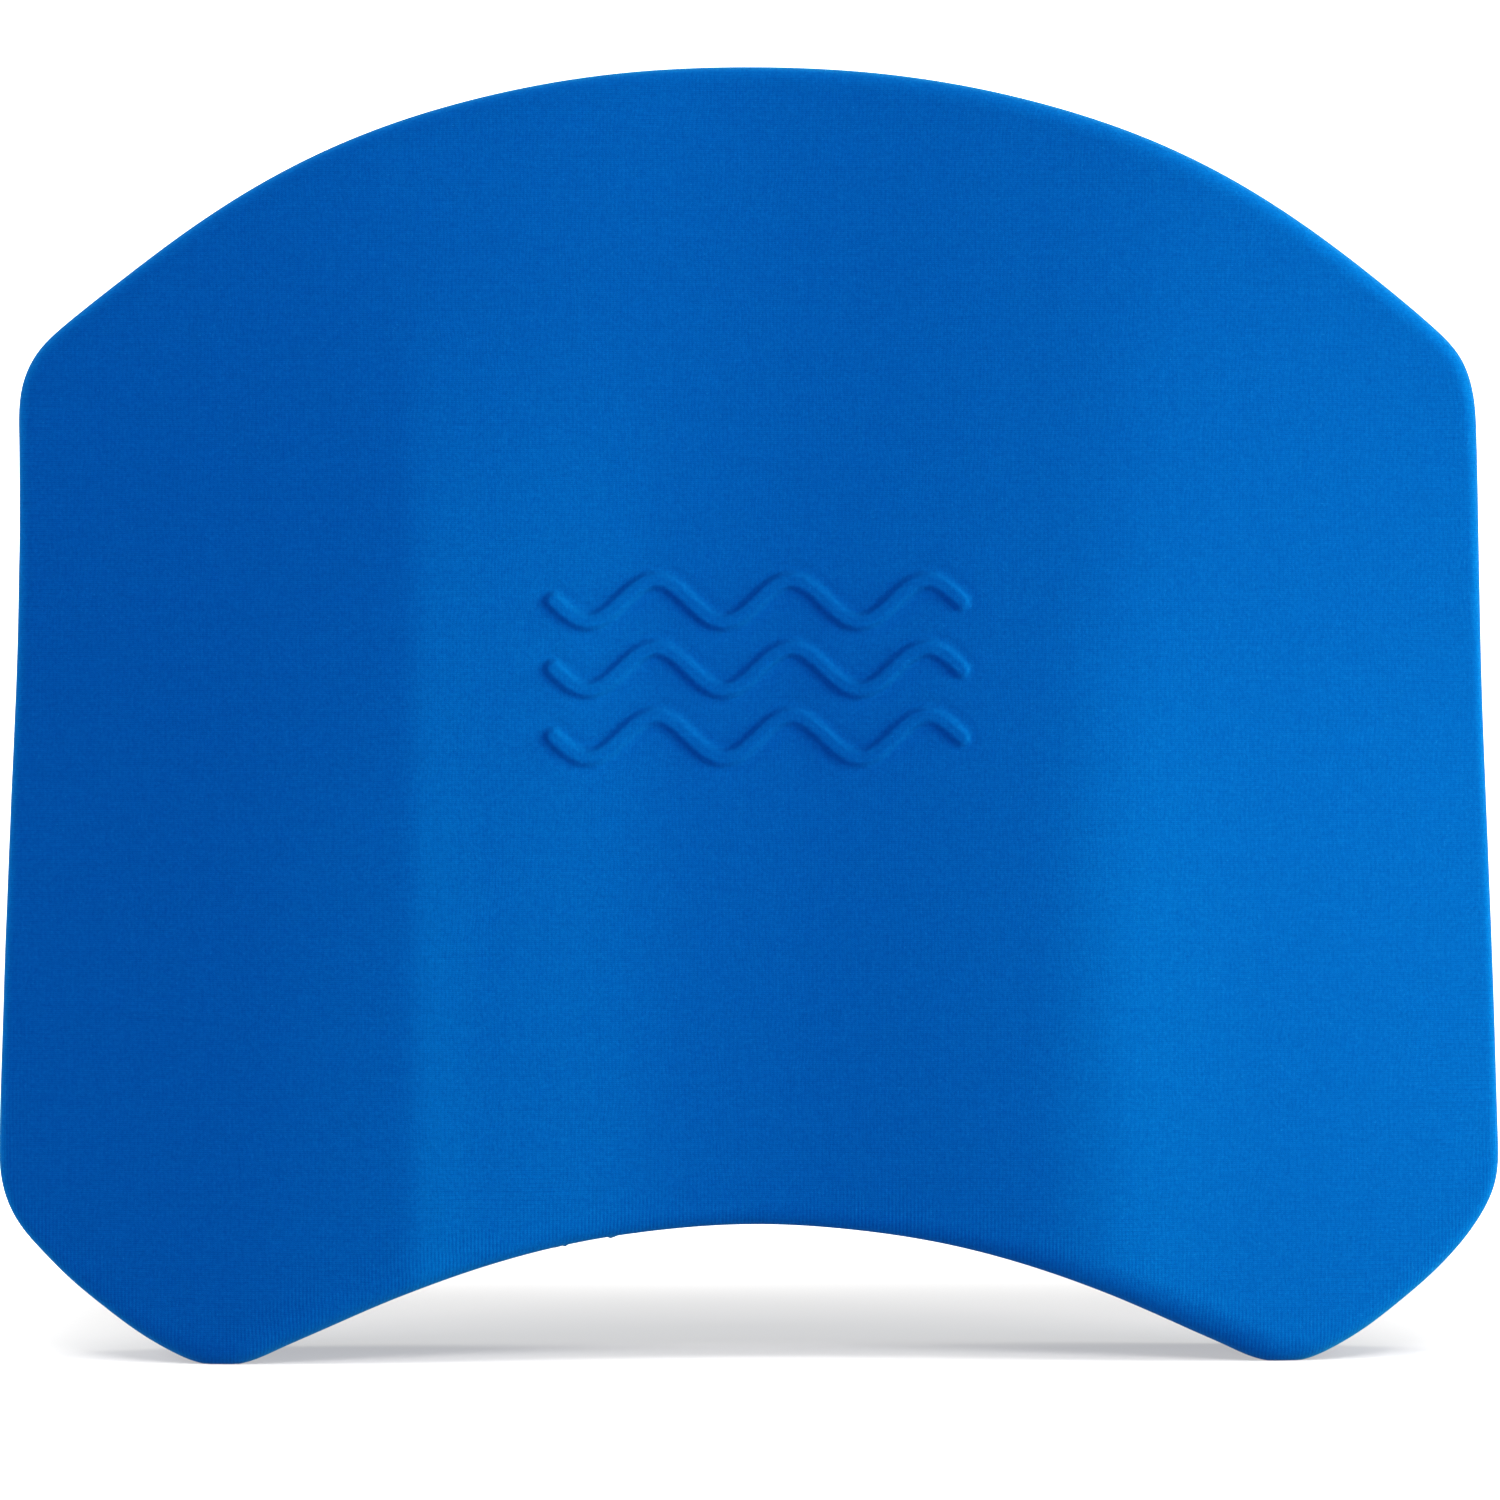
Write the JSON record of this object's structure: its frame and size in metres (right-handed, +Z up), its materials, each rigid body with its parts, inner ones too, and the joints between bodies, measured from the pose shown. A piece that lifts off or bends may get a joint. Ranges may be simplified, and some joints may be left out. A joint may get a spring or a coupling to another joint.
{
  "type": "kickboard float",
  "caption": "Moulded foam kickboard and pull buoy standing on its feet, arched base, two soft ridges, waisted middle, bonded knit fabric skin and a raised wave emblem.",
  "frame": {"origin": "on the ground midway between the feet, on the parting plane between the two foam halves", "axes": "+Z up from the feet to the crown, +X to the right seen from the front, front face (with the raised emblem) towards -Y"},
  "size_m": [0.29, 0.0656, 0.25],
  "materials": {
    "front_fabric": "fine jersey knit, deep blue, faintly fuzzy",
    "rear_fabric": "fine jersey knit, deep blue, faintly fuzzy",
    "adhesive_film": "milky heat-activated film",
    "eva_foam": "closed-cell EVA foam",
    "bond_layer": "cured contact adhesive"
  },
  "bodies": {
    "root": {"front_fabric_skin": "front_fabric", "front_adhesive_film": "adhesive_film", "front_foam_half": "eva_foam", "core_bond_layer": "bond_layer", "rear_foam_half": "eva_foam", "rear_adhesive_film": "adhesive_film", "rear_fabric_skin": "rear_fabric"}
  },
  "joints": []
}
